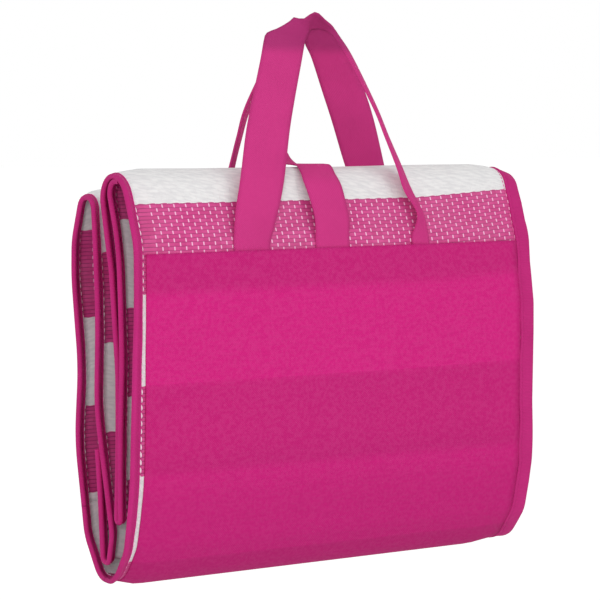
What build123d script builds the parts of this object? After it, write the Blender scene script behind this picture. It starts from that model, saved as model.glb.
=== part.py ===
from build123d import *
from math import asin, atan2, cos, hypot, radians, sin, tan
import os

# Folding carry mat, folded in half and hung by its two handles. Millimetres.
# X runs along the mat's width, the front of the folded pack faces -Y, +Z is up.
# The origin is the grip: the point where a hand or a hook holds the gathered handles.
# All heights below are counted from the underside of the folded pack.

# ---------------------------------------------------------------- driving dimensions
MAT_WIDTH = 500.0          # the mat over its side bindings
MAT_T = 4.0                # woven cloth with its soft backing
GRIP_HEIGHT = 560.0        # the grip

TAPE_T = 1.2               # binding tape
TAPE_W = 17.0              # binding tape on each face of the cloth
TAPE_LIP = 1.5             # tape round the cloth's own edge

PANEL_T = 0.8              # non-woven carry panel
PANEL_TOP = 338.0          # its two top edges
PANEL_GAP = 10.0           # woven strip that shows between the left binding and the panel

STRAP_T = 1.2              # non-woven webbing
HANDLE_W = 45.0
HANDLE_FOOT = 103.0        # middle of each foot from the middle between them
HANDLE_TOP_R = 38.8        # bend of the webbing's middle line at the grip
HANDLE_SHIFT = -3.0        # the grip, sideways from the middle of the mat
FRONT_FEET = 0.0           # between the front handle's feet, sideways from the middle
BACK_FEET = 48.0           # and between the back handle's
STRAP_RISE = 8.0           # straight stretch of each strap before it leans back
STRAP_BEND_R = 35.0        # bend at the end of that stretch

CLOSING_W = 40.0           # closing strap
CLOSING_X = -9.0
CLOSING_REACH = 58.0       # its free end, back from the middle plane
CLOSING_LEAVE = 0.7        # share of the front crest that it lies on
CLOSING_BEND_R = 30.0      # bend where it leaves that crest
PATCH_T = 1.0              # hook and loop tape
PATCH_L = 34.0
PATCH_W = 28.0
PATCH_DROP = 8.0           # loop patch below the panel's back top edge

CLEAR = 0.3                # between soft pieces that move apart
FOLD_GAP = 0.4             # between the sections at each bottom fold line
FOLD_OUT = 2.3             # fold axis outside the binding tape

# ---------------------------------------------------------------- fold of the cloth
# Middle line of the cloth from the side, as corners (Y, height) and a bend at each.
FOLD_MIDDLE = 1.2          # middle of the bottom
BASE_HEIGHT = MAT_T / 2 + TAPE_T
BASE_FLAT = 9.0            # flat bottom between its two bends
BASE_R = 38.0
BASE_SLOPE = 50.5          # degrees, each slope beside the flat bottom
SLOPE_RUN = 50.3           # corner to corner, up each slope to the roll above it

FRONT_FACE = -68.0
FRONT_FACE_R = 60.0        # bend from the face into the slope of the crest
FRONT_CREST = 416.0
FRONT_CREST_Y = -38.0
FRONT_CREST_R = 28.0
FLAP_TOP_Y = 12.0          # where the cloth turns down again behind the front crest
FLAP_TOP_R = 23.0
FLAP_TURN = 59.0           # lower turn of the end flap inside the front roll
FLAP_Y = -20.0
FLAP_SPACE = 9.6           # between the flap's two layers there

BACK_FACE = 81.0
BACK_CREST = 394.0
TAIL_TURN = 11.5           # lower turn of the tail inside the back roll
TAIL_Y = 2.0
TAIL_SPACE = 14.0

base_half = BASE_FLAT / 2 + BASE_R * tan(radians(BASE_SLOPE / 2))
base_front = (FOLD_MIDDLE - base_half, BASE_HEIGHT)
base_back = (FOLD_MIDDLE + base_half, BASE_HEIGHT)
slope_y = SLOPE_RUN * cos(radians(BASE_SLOPE))
slope_top = BASE_HEIGHT + SLOPE_RUN * sin(radians(BASE_SLOPE))
front_turn = (base_front[0] - slope_y, slope_top)
back_turn = (base_back[0] + slope_y, slope_top)

front_bends = [
    (front_turn, BASE_R),
    ((-65, 115), 300),
    ((FRONT_FACE, 300), 300),
    ((FRONT_FACE, PANEL_TOP + STRAP_RISE), FRONT_FACE_R),
    ((FRONT_CREST_Y, FRONT_CREST), FRONT_CREST_R),
    ((FLAP_TOP_Y, FRONT_CREST), FLAP_TOP_R),
    ((-14, 320), 80),
    ((-23, 222), 200),
    ((FLAP_Y, FLAP_TURN), FLAP_SPACE / 2 - 0.2),
    ((FLAP_Y - FLAP_SPACE, FLAP_TURN), FLAP_SPACE / 2 - 0.2),
    ((-35, 230), 200),
    ((-26, 345), 200),
]
front_end = (-13, 401)

back_bends = [
    (back_turn, BASE_R),
    ((73, 138), 150),
    ((62, 216), 150),
    ((BACK_FACE, 308), 150),
    ((BACK_FACE, PANEL_TOP + STRAP_RISE), 60),
    ((62, BACK_CREST), 16),
    ((33, BACK_CREST), 15),
    ((18, 270), 400),
    ((24, 176), 150),
    ((-6, 46), 40),
    ((TAIL_Y, TAIL_TURN), TAIL_SPACE / 2 - 0.5),
    ((TAIL_Y + TAIL_SPACE, TAIL_TURN), TAIL_SPACE / 2 - 0.5),
    ((20, 85), 200),
]
back_end = (27, 134)


def between(a, b, share=0.5):
    """The point that lies the given share of the way from a to b."""
    return (a[0] + (b[0] - a[0]) * share, a[1] + (b[1] - a[1]) * share)


def toward(a, b, distance):
    """The point at a distance from a on the way to b."""
    return between(a, b, distance / hypot(b[0] - a[0], b[1] - a[1]))


def beside(a, b, distance):
    """The points a and b moved to the left of the way from a to b."""
    length = hypot(b[0] - a[0], b[1] - a[1])
    step_y = -(b[1] - a[1]) / length * distance
    step_z = (b[0] - a[0]) / length * distance
    return (a[0] + step_y, a[1] + step_z), (b[0] + step_y, b[1] + step_z)


def corner_beside(a, corner, b, distance):
    """The corner of the route that runs parallel to a-corner-b, to the left of it."""
    before = beside(a, corner, distance)[1]
    after = beside(corner, b, distance)[0]
    middle = between(before, after)
    reach = (middle[0] - corner[0], middle[1] - corner[1])
    grow = (distance / hypot(*reach)) ** 2
    return (corner[0] + reach[0] * grow, corner[1] + reach[1] * grow)


# The two fold lines lie halfway up the slopes between the flat bottom and the rolls.
front_fold = between(base_front, front_turn)
back_fold = between(base_back, back_turn)

front_route = [toward(front_fold, front_turn, FOLD_GAP / 2)] + front_bends + [front_end]
base_route = [
    toward(front_fold, base_front, FOLD_GAP / 2),
    (base_front, BASE_R),
    (base_back, BASE_R),
    toward(back_fold, base_back, FOLD_GAP / 2),
]
back_route = [toward(back_fold, back_turn, FOLD_GAP / 2)] + back_bends + [back_end]

LEFT = -MAT_WIDTH / 2
RIGHT = MAT_WIDTH / 2
SIDE = Plane(origin=(0, 0, -GRIP_HEIGHT), x_dir=(0, 1, 0), z_dir=(1, 0, 0))
FRONT = Plane(origin=(0, 0, -GRIP_HEIGHT), x_dir=(1, 0, 0), z_dir=(0, -1, 0))
TALL = 2 * GRIP_HEIGHT
pieces = []


def finish(piece, name):
    """Label a finished piece and keep it for writing."""
    piece.part.label = name
    pieces.append(piece.part)


def draw(route, width, mode=Mode.ADD):
    """A ribbon of the given width along a route, in the sketch that is open."""
    with BuildLine() as path:
        if len(route) == 2:
            Line(*route)
        else:
            corners = [corner for corner, bend in route[1:-1]]
            bends = [bend for corner, bend in route[1:-1]]
            FilletPolyline(route[0], *corners, route[-1], radius=bends)
    trace(path.line, line_width=width, mode=mode)


def ribbon(route, width, start, length, mode=Mode.ADD):
    """A ribbon along a route seen from the side, extruded across the mat from start."""
    with BuildSketch(SIDE.offset(start)) as profile:
        draw(route, width)
    extrude(profile.sketch, amount=length, mode=mode)


# ---------------------------------------------------------------- woven cloth
sections = {"front": front_route, "base": base_route, "back": back_route}
cloth_start = LEFT + TAPE_LIP
cloth_length = MAT_WIDTH - 2 * TAPE_LIP

for name, route in sections.items():
    with BuildPart() as mat:
        ribbon(route, MAT_T, cloth_start, cloth_length)
    finish(mat, "mat_" + name)

# ---------------------------------------------------------------- side bindings
# One tape is folded round each side edge: a channel with the cloth's edge in it.
for name, route in sections.items():
    for side, start, cloth_from in (
        ("left", LEFT, LEFT + TAPE_LIP),
        ("right", RIGHT - TAPE_W, RIGHT - TAPE_W),
    ):
        with BuildPart() as binding:
            ribbon(route, MAT_T + 2 * TAPE_T, start, TAPE_W)
            ribbon(route, MAT_T, cloth_from, TAPE_W - TAPE_LIP, mode=Mode.SUBTRACT)
        finish(binding, f"binding_{side}_{name}")

# ---------------------------------------------------------------- end bindings
# The same tape over the cloth's two cut ends, between the side bindings.
for name, route in (("front", front_route), ("back", back_route)):
    end = route[-1]
    last_corner = route[-2][0]
    tape = [toward(end, last_corner, TAPE_W - TAPE_LIP), toward(end, last_corner, -TAPE_LIP)]
    with BuildPart() as end_binding:
        ribbon(tape, MAT_T + 2 * TAPE_T, LEFT + TAPE_W, MAT_WIDTH - 2 * TAPE_W)
        ribbon([tape[0], end], MAT_T, LEFT + TAPE_W, MAT_WIDTH - 2 * TAPE_W, mode=Mode.SUBTRACT)
    finish(end_binding, "end_binding_" + name)


# ---------------------------------------------------------------- carry panel
# Non-woven cloth sewn to the outside, up both faces and round the bottom. Its left edge
# stops short of the left binding and its right edge meets the right binding.
PANEL_START = LEFT + TAPE_W + PANEL_GAP
PANEL_LENGTH = RIGHT - TAPE_W - PANEL_START


def skin(route, under, thickness, start, length, low, high, outward):
    """A layer on the outside of a ribbon between two heights, extruded across the mat."""
    with BuildSketch(SIDE.offset(start)) as profile:
        draw(route, under + 2 * thickness)
        draw(route, under, mode=Mode.SUBTRACT)
        with Locations((0, (low + high) / 2)):
            Rectangle(2 * MAT_WIDTH, high - low, mode=Mode.INTERSECT)
    extrude(profile.sketch.faces().sort_by(outward)[-1], amount=length)


outward = {"front": -Axis.Y, "base": -Axis.Z, "back": Axis.Y}
for name, route in sections.items():
    with BuildPart() as panel:
        skin(route, MAT_T, PANEL_T, PANEL_START, PANEL_LENGTH, -TALL, PANEL_TOP, outward[name])
    finish(panel, "carry_panel_" + name)

# ---------------------------------------------------------------- handles
# Flat webbing sewn to the panel's top edge. Seen from the front the two legs lean in and
# meet in a bend at the grip; seen from the side they lie on the roll, then run straight.
STRAP_OUT = MAT_T / 2 + CLEAR + STRAP_T / 2
STRAP_FOOT = PANEL_TOP + CLEAR


def webbing(side_route, outline, width):
    """Webbing with the given middle line from the side and outline from the front."""
    ribbon(side_route, STRAP_T, LEFT, MAT_WIDTH)
    with BuildSketch(FRONT) as shape:
        draw(outline, width)
        with Locations((0, STRAP_FOOT + TALL / 2)):
            Rectangle(2 * MAT_WIDTH, TALL, mode=Mode.INTERSECT)
    extrude(shape.sketch, amount=MAT_WIDTH, both=True, mode=Mode.INTERSECT)




def handle_outline(feet):
    """The two legs as tangents to the bend at the grip, from feet either side of a middle."""
    left, right = feet - HANDLE_FOOT, feet + HANDLE_FOOT
    rise = GRIP_HEIGHT - HANDLE_TOP_R - PANEL_TOP
    leans = []
    for inward in (HANDLE_SHIFT - left, right - HANDLE_SHIFT):
        leans.append(atan2(inward, rise) - asin(HANDLE_TOP_R / hypot(inward, rise)))
    cross = (right - left) / (tan(leans[0]) + tan(leans[1]))
    corner = (left + cross * tan(leans[0]), PANEL_TOP + cross)
    return [(left, PANEL_TOP), (corner, HANDLE_TOP_R), (right, PANEL_TOP)]


for name, face, side, feet in (
    ("front", FRONT_FACE, -1, FRONT_FEET),
    ("back", BACK_FACE, 1, BACK_FEET),
):
    foot_y = face + side * STRAP_OUT
    leg = [
        (foot_y, STRAP_FOOT),
        ((foot_y, PANEL_TOP + STRAP_RISE), STRAP_BEND_R),
        (side * (CLEAR + STRAP_T / 2), GRIP_HEIGHT + HANDLE_W / 2),
    ]
    with BuildPart() as handle:
        webbing(leg, handle_outline(feet), HANDLE_W)
    finish(handle, name + "_handle")

# ---------------------------------------------------------------- closing strap
# Sewn to the panel's front top edge, laid over both crests, its free end loose.
front_face_corner = (FRONT_FACE, PANEL_TOP + STRAP_RISE)
closing_end = (CLOSING_REACH, BACK_CREST + STRAP_OUT + PATCH_T)
closing_route = [
    (FRONT_FACE - STRAP_OUT, STRAP_FOOT),
    (
        corner_beside((FRONT_FACE, 0), front_face_corner, (FRONT_CREST_Y, FRONT_CREST), STRAP_OUT),
        STRAP_BEND_R,
    ),
    (
        corner_beside(front_face_corner, (FRONT_CREST_Y, FRONT_CREST), (0, FRONT_CREST), STRAP_OUT),
        FRONT_CREST_R + STRAP_OUT,
    ),
    (
        between(
            (FRONT_CREST_Y, FRONT_CREST + STRAP_OUT),
            (FLAP_TOP_Y, FRONT_CREST + STRAP_OUT),
            CLOSING_LEAVE,
        ),
        CLOSING_BEND_R,
    ),
    closing_end,
]
with BuildPart() as closing_strap:
    ribbon(closing_route, STRAP_T, CLOSING_X - CLOSING_W / 2, CLOSING_W)
finish(closing_strap, "closing_strap")

# Hook tape under the free end, and loop tape high on the panel's back, where it closes.
last_corner = closing_route[-2][0]
patch_start = toward(closing_end, last_corner, PATCH_L)
with BuildPart() as hook_patch:
    ribbon(
        beside(patch_start, closing_end, -(STRAP_T + PATCH_T) / 2),
        PATCH_T,
        CLOSING_X - PATCH_W / 2,
        PATCH_W,
    )
finish(hook_patch, "hook_patch")

patch_top = PANEL_TOP - PATCH_DROP
with BuildPart() as loop_patch:
    skin(
        back_route,
        MAT_T + 2 * PANEL_T,
        PATCH_T,
        CLOSING_X - PATCH_W / 2,
        PATCH_W,
        patch_top - PATCH_L,
        patch_top,
        outward["back"],
    )
finish(loop_patch, "loop_patch")

# ---------------------------------------------------------------- files and joint axes
os.makedirs("parts", exist_ok=True)
for piece in pieces:
    export_step(piece, f"parts/{piece.label}.step")
    size = piece.bounding_box().size
    print(f"{piece.label}: {piece.volume / 1000:.1f} cm3, {size.X:.0f} x {size.Y:.0f} x {size.Z:.0f} mm")

fold_out = MAT_T / 2 + TAPE_T + FOLD_OUT
axes = {
    "front_bottom_fold": beside(front_fold, front_turn, fold_out)[0],
    "back_bottom_fold": beside(back_fold, back_turn, -fold_out)[0],
    "front_handle_swing": (FRONT_FACE - STRAP_OUT - STRAP_T / 2, STRAP_FOOT),
    "back_handle_swing": (BACK_FACE + STRAP_OUT + STRAP_T / 2, STRAP_FOOT),
}
for name, (y, height) in axes.items():
    print(f"{name}: axis along X at y {y:.2f}, z {height - GRIP_HEIGHT:.2f}")

cloth_area = sum(piece.volume for piece in pieces if piece.label.startswith("mat_")) / MAT_T
print(f"cloth laid out flat: {cloth_area / cloth_length:.0f} mm long")
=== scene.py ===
# %% [markdown]
# # A woven mat, folded into a carry pack
# The real object is one length of woven plastic cloth, about two metres long. Each end is
# turned back into its half of the mat, and the two halves are then folded together and
# hung up by two webbing handles. We dress a fixed frame: its solids carry the sizes and
# the joints, and every soft piece made here takes its place from them.

# %% load the frame
import math

import bmesh
import bpy
import numpy as np
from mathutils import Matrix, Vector


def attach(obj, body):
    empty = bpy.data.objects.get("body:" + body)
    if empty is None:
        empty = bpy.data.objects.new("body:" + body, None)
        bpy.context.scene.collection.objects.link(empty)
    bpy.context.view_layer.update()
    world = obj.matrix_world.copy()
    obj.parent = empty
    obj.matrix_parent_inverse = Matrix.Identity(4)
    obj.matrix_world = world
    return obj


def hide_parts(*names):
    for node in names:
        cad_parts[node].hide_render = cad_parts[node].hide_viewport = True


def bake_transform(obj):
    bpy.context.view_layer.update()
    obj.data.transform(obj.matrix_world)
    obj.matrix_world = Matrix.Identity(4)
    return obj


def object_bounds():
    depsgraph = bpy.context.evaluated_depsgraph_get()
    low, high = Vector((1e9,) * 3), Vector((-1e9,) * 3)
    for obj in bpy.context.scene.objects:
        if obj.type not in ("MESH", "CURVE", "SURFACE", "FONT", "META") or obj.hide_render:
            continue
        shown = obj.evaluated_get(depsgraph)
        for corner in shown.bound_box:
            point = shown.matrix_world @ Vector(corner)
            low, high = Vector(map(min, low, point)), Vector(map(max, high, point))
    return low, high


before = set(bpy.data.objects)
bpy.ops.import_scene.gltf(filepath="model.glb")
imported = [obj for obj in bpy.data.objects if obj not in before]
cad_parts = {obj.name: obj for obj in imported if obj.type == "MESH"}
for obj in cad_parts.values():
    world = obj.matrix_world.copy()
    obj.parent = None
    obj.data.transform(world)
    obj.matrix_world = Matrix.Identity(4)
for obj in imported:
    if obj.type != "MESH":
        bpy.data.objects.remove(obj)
cad_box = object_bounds()
MM = 0.001

# %% [markdown]
# ## The camera
# Shops show such a mat from the front and a little to the left, from far away with a long
# lens, so that upright edges stay upright. A shorter lens, closer by, would bend the
# pack's top edge down.

# %% the camera
CAMERA_PLACE = Vector((-1148.6, -1985.7, -79.2)) * MM
CAMERA_TURN = 30.0          # degrees past the front, to the left
CAMERA_TILT = 5.05          # degrees down
LENS = 129.66

camera = bpy.data.objects.new("camera", bpy.data.cameras.new("camera"))
camera.data.lens = LENS
camera.data.clip_end = 50
camera.location = CAMERA_PLACE
camera.rotation_euler = (math.radians(90 - CAMERA_TILT), 0, math.radians(-CAMERA_TURN))
bpy.context.collection.objects.link(camera)
bpy.context.scene.camera = camera
bpy.context.scene.view_settings.view_transform = "Standard"
print("camera looks", CAMERA_TURN, "degrees past the front")

# %% [markdown]
# ## Materials written as sums
# A weave takes dozens of Math nodes. They could be placed by hand in the node editor. Here
# a small class wraps a node's output and gives it Python's own operators, so that each line
# of arithmetic makes the nodes that it needs.


# %% a number inside a shader
class Value:
    """A number inside a shader: operators on it add Math nodes."""

    def __init__(self, shader, socket):
        self.shader = shader
        self.socket = socket

    def maths(self, operation, *others):
        return self.shader.node("ShaderNodeMath", {"operation": operation}, [self, *others])

    def __add__(self, other):
        return self.maths("ADD", other)

    def __sub__(self, other):
        return self.maths("SUBTRACT", other)

    def __mul__(self, other):
        return self.maths("MULTIPLY", other)

    __radd__ = __add__
    __rmul__ = __mul__

    def __rsub__(self, other):
        return self.maths("MULTIPLY", -1) + other

    def fraction(self):
        return self.maths("FRACT")

    def whole(self):
        return self.maths("FLOOR")

    def size(self):
        return self.maths("ABSOLUTE")

    def lowest(self, other):
        return self.maths("MINIMUM", other)

    def wave(self, step):
        """A sine along this number, one wave in each step."""
        return (self * (2 * math.pi / step)).maths("SINE")

    def ramp(self, start, end):
        """0 below start, 1 above end, smooth between."""
        smooth = {"interpolation_type": "SMOOTHSTEP"}
        return self.shader.node("ShaderNodeMapRange", smooth, [self, start, end])


# %% a material's tree
class Shader:
    """A material's or the world's node tree, with one method that adds any node."""

    def __init__(self, name, shelf=bpy.data.materials, surface="Principled BSDF"):
        self.material = shelf.new(name)
        self.material.use_nodes = True
        self.tree = self.material.node_tree
        self.surface = self.tree.nodes[surface]

    def node(self, kind, settings=None, inputs=(), output=0):
        new = self.tree.nodes.new(kind)
        for key, setting in (settings or {}).items():
            setattr(new, key, setting)
        pairs = inputs.items() if isinstance(inputs, dict) else enumerate(inputs)
        for key, given in pairs:
            if isinstance(given, Value):
                self.tree.links.new(given.socket, new.inputs[key])
            else:
                new.inputs[key].default_value = given
        return Value(self, new.outputs[output])

    def own_place(self):
        """Where on its piece a spot lies, in metres: the Object coordinates."""
        return self.node("ShaderNodeTexCoord", output=3)

    def parts(self, place):
        """The three numbers of a place."""
        split = self.node("ShaderNodeSeparateXYZ", {}, [place]).socket.node
        return [Value(self, socket) for socket in split.outputs]

    def mix(self, share, first, second):
        """A colour between two colours."""
        sockets = {"Factor": share, 6: first, 7: second}
        return self.node("ShaderNodeMix", {"data_type": "RGBA"}, sockets, output=2)

    def noise(self, place, scale, detail=2.0):
        sockets = {"Vector": place, "Scale": scale, "Detail": detail}
        return self.node("ShaderNodeTexNoise", {}, sockets)

    def drawn_out(self, across, along, detail):
        """Noise on two numbers of the cloth, which can run long one way."""
        place = self.node("ShaderNodeCombineXYZ", {}, {"X": across, "Y": along})
        return self.noise(place, 1.0, detail)

    def bump(self, height, strength, distance):
        sockets = {"Height": height, "Strength": strength, "Distance": distance}
        return self.node("ShaderNodeBump", {}, sockets)

    def feed(self, **sockets):
        """Set or link the surface shader's own sockets, spaces written as _."""
        for name, given in sockets.items():
            target = self.surface.inputs[name.replace("_", " ")]
            if isinstance(given, Value):
                self.tree.links.new(given.socket, target)
            else:
                target.default_value = given


def colour(red, green, blue):
    """A colour as a paint card gives it, 0 to 255, for a shader."""
    parts = [part / 255 for part in (red, green, blue)]
    line = [
        part / 12.92 if part <= 0.04045 else ((part + 0.055) / 1.055) ** 2.4 for part in parts
    ]
    return (*line, 1.0)


print("shader maths ready")

# %% [markdown]
# ## Floor and light
# The light is what a product table has: a bright tent all round, one large soft lamp high
# on the right, and a stronger one on the left, just above the camera, which reaches in
# between the layers at the pack's left end. The tent looks white to the camera and in
# reflections alone: a tent that is white for the cloth too would wash its colours out.

# %% the floor
FLOOR_DROP = 0.45           # the floor lies this far under the hanging pack
FLOOR_SIZE = 60.0
FLOOR_GLOW = 0.35           # for the camera alone, so that the floor fades into the white
floor_height = cad_box[0][2] - FLOOR_DROP
half = FLOOR_SIZE / 2
mesh = bpy.data.meshes.new("floor")
mesh.from_pydata(
    [(-half, -half, floor_height), (half, -half, floor_height),
     (half, half, floor_height), (-half, half, floor_height)], [], [(0, 1, 2, 3)]
)
floor = bpy.data.objects.new("floor", mesh)
bpy.context.collection.objects.link(floor)

pale = Shader("floor_pale")
camera_ray = pale.node("ShaderNodeLightPath", output=0)
pale.feed(Base_Color=(0.92, 0.92, 0.92, 1), Roughness=0.9, Emission_Strength=FLOOR_GLOW)
pale.feed(Emission_Color=pale.mix(camera_ray, (0, 0, 0, 1), (1, 1, 1, 1)))
floor.data.materials.append(pale.material)
print("floor at", round(floor_height, 3), "m")

# %% the tent and the lamps
WORLD_LIGHT = 0.72          # what lights the cloth; the camera sees 1, white
tent = Shader("tent", bpy.data.worlds, "Background")
bpy.context.scene.world = tent.material
by_camera, by_gloss = (
    tent.node("ShaderNodeLightPath", output=ray) for ray in ("Is Camera Ray", "Is Glossy Ray")
)
seen = by_camera.maths("MAXIMUM", by_gloss)
tent.feed(Color=tent.mix(seen, (WORLD_LIGHT, WORLD_LIGHT, WORLD_LIGHT, 1), (1, 1, 1, 1)))


def lamp(name, place, power, size):
    """A square soft lamp that faces the middle of the pack."""
    light = bpy.data.lights.new(name, "AREA")
    light.energy = power
    light.size = size
    made = bpy.data.objects.new(name, light)
    made.location = place
    aim = (Vector(cad_box[0]) + Vector(cad_box[1])) / 2
    made.rotation_euler = (aim - made.location).to_track_quat("-Z", "Y").to_euler()
    bpy.context.collection.objects.link(made)


lamp("key", (1.1, -1.8, 0.8), power=6.0, size=0.8)
lamp("fill", (-1.3, -1.95, 0.15), power=12.5, size=0.5)
print("tent at", WORLD_LIGHT, "with two lamps")

# %% [markdown]
# ## The way the cloth is folded
# Everything on this mat follows one line: the side view of the folded cloth. We walk along
# it from the free end inside the front roll to the one inside the back roll. Its corners
# and bends are near those of the frame's solids. A simulated fold could be made instead,
# but the frame's joints need the cloth to lie where its solids do.

# %% corners of the fold, from the side: (depth, height above the underside, bend) in mm
PANEL_TOP = 338.0
FRONT_BEND = ((-53.2, 42), (-21.2, 3.2))    # the front face turns into the bottom here
BACK_BEND = ((23.6, 3.2), (55.6, 42))       # and the bottom into the back here
BOTTOM_R = 38
fold = [
    # the flap inside the front roll, down to its turn
    (-27, 409.5, 0), (-3, 409.5, 13), (-26, 345, 200), (-35, 230, 200), (-29.6, 59, 4.6),
    # and up again to the front crest
    (-20, 59, 4.6), (-23, 222, 200), (-14, 320, 80), (12, 416, 23),
    # the front face
    (-38, 416, 28), (-68, 346, 60), (-68, 300, 300), (-65, 115, 300),
    # the bottom
    *((*corner, BOTTOM_R) for corner in FRONT_BEND + BACK_BEND),
    # the back, up to its crest
    (73, 138, 150), (62, 216, 150), (81, 308, 150), (81, 346, 60), (62, 394, 16),
    # the tail inside the back roll, down to its turn
    (33, 394, 15), (18, 270, 400), (24, 176, 150), (-6, 46, 40), (2, 11.5, 6.5),
    # and up to its free end
    (16, 11.5, 6.5), (18, 85, 200), (22.5, 134, 0),
]
UNDERSIDE = cad_box[0][2] / MM


def lengths(points):
    """How far along a line of points each of them lies."""
    return np.concatenate([[0], np.cumsum(np.linalg.norm(np.diff(points, axis=0), axis=1))])


def go_straight(line, end, step):
    """Adds points to a line, evenly, about a step apart, as far as end."""
    start = line[-1]
    count = max(1, round(np.linalg.norm(end - start) / step))
    line += [start + (end - start) * k / count for k in range(1, count + 1)]


def round_corners(corners, step):
    """Points along straight runs joined by tangent arcs, about a step apart."""
    line = [np.array(corners[0][:2], float)]
    for before, corner, after in zip(corners, corners[1:], corners[2:]):
        a, b, c = (np.array(point[:2], float) for point in (before, corner, after))
        back = (a - b) / np.linalg.norm(a - b)
        ahead = (c - b) / np.linalg.norm(c - b)
        turn = math.pi - math.acos(float(np.clip(back @ ahead, -1, 1)))
        inset = corner[2] * math.tan(turn / 2)
        start, end = b + back * inset, b + ahead * inset
        inward = (back + ahead) / np.linalg.norm(back + ahead)
        centre = b + inward * (corner[2] / math.cos(turn / 2))
        go_straight(line, start, step)
        first, last = (math.atan2(*(point - centre)[::-1]) for point in (start, end))
        sweep = (last - first + math.pi) % (2 * math.pi) - math.pi
        count = max(2, round(corner[2] * turn / step), round(turn / math.radians(15)))
        for k in range(1, count + 1):
            angle = first + sweep * k / count
            line.append(centre + corner[2] * np.array([math.cos(angle), math.sin(angle)]))
    go_straight(line, np.array(corners[-1][:2], float), step)
    return np.array(line)


route = round_corners(fold, 4.0)
along = lengths(route)
CLOTH_LENGTH = along[-1]
print(f"cloth {CLOTH_LENGTH:.0f} mm long")


# %% places along the cloth
def place_of(depth, height, low, high):
    """How far along the cloth, between two places, it comes nearest to a point."""
    inside = (along >= low) & (along <= high)
    gap = np.hypot(route[:, 0] - depth, route[:, 1] - height) + np.where(inside, 0, 1e6)
    return along[int(np.argmin(gap))]


FRONT_CREST = place_of(-14, 416, 500, 1000)
BOTTOM = place_of(4, 3.2, 900, 1500)
BACK_CREST = place_of(48, 394, 1400, 2050)
FRONT_EDGE = place_of(-68, PANEL_TOP, FRONT_CREST, BOTTOM)      # the panel's two top edges
BACK_EDGE = place_of(81, PANEL_TOP, BOTTOM, BACK_CREST)
FLAP_TURN = place_of(-25, 54, 0, 700)
TAIL_TURN = place_of(9, 11.5, BACK_CREST, 2300)
BASE_END = place_of(62, 70, BOTTOM, BACK_CREST)     # past the back fold, under the panel
print(f"bottom at {BOTTOM:.0f}, crests at {FRONT_CREST:.0f} and {BACK_CREST:.0f}")

# %% [markdown]
# The side line alone would give a stiff board. Real cloth is softer: its left margin has
# curled forward a little, its right end sags at the front crest, the loose weave stands
# proud between the bindings where it goes over a crest, and the long faces are never quite
# flat. One function adds all that to the side line, and the cloth, the bindings, the panel
# and the stitches all ask it where a spot on the cloth has gone, so they stay on each other.

# %% how the cloth strays from its side line, in mm
MAT_WIDTH = 500.0
HALF_WIDTH = MAT_WIDTH / 2
TAPE_W = 17.0
MARGIN = 30.0               # the strip beside the left edge that has curled forward
CURL = math.radians(50)     # how far it has turned on the layers inside the pack
FACE_CURL = math.radians(44)
TAKE_UP, FACE_TAKE_UP = 3.0, 7.0    # sewing has drawn the left edge in by this much
BACK_SAG, FRONT_SAG = 3.0, 1.5      # the curled margin sinks at each crest
RIGHT_SAG, SAG_FROM = 8.0, 218      # the front crest sinks more at the right, from here on
TAIL_LIFT, FLAP_LIFT = 10.0, 9.0    # the inner turns have ridden up at the left end,
LIFT_FROM = -120                    # from here on
FLAP_END = 12                       # the flap's end lies here, under the front crest
FRONT_SWELL, BACK_SWELL, BOTTOM_SWELL = 3.2, 4.2, 6.0

# How the front face leans at each height, at its left and its right end.
lean_heights = [0, 25, 50, 72, 95, 129, 162, 205, 239, 271, 315, 337, 360, 380, 397, 416]
lean_right = [-7, -7, -6, -8, -9, -7, -5, -5, -5, -4, 4, 6, 8, 6, 6, 4]
lean_left = [11, 11, 12, 10, 8, 7, 6, 5, 5, 4, 4, 4, 3, 1, 0, 0]


def bell(distance, width):
    """1 at no distance, fading to 0 like a bell."""
    return np.exp(-((distance / width) ** 2))


def rise(distance, length):
    """0 up to no distance, then rising evenly to 1 over a length."""
    return np.clip(distance / length, 0, 1)


def leaning(s, x, height):
    """How far the front face leans back."""
    face = rise(s - FRONT_CREST + 30, 50) * rise(BOTTOM + 30 - s, 60)
    share = np.clip(x / MAT_WIDTH + 0.5, 0, 1)
    left, right = (np.interp(height, lean_heights, lean) for lean in (lean_left, lean_right))
    return face * (left * (1 - share) + right * share)


def sagging(s, x, past):
    """How far the cloth has sunk or, below 0, risen; past is how far into the curl."""
    margin = BACK_SAG * bell(s - BACK_CREST, 45) + FRONT_SAG * bell(s - FRONT_CREST, 45)
    crest = bell(s - FRONT_CREST, 55) + bell(s - FLAP_END, 55)
    right_end = np.clip((x - SAG_FROM) / 32, 0, None) ** 2
    turns = TAIL_LIFT * bell(s - TAIL_TURN, 60) + FLAP_LIFT * bell(s - FLAP_TURN, 60)
    left_end = rise(LIFT_FROM - x, 100) ** 2
    return margin * rise(past, 16) + RIGHT_SAG * crest * right_end - turns * left_end


def proud(s, x):
    """How far the cloth stands out of its side line."""
    edge = rise(HALF_WIDTH - TAPE_W - np.abs(x), 30)
    crest = FRONT_SWELL * bell(s - FRONT_CREST, 42) + BACK_SWELL * bell(s - BACK_CREST, 34)
    crest = crest * (1 + 0.12 * np.sin(x / 37.0 + 0.6))
    crest = crest + (BOTTOM_SWELL - x / 120) * bell(s - BOTTOM + 8, 52)
    slack = 0.5 * np.sin(x / 53.0 + s / 71.0) + 0.35 * np.sin(x / 29.0 - s / 43.0 + 2)
    quiet = np.clip(np.abs(s - BOTTOM) / 90 - 0.3, 0, 1)
    return edge * (crest + slack * quiet)


print("the front face leans", min(lean_right), "to", max(lean_left), "mm")


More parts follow.
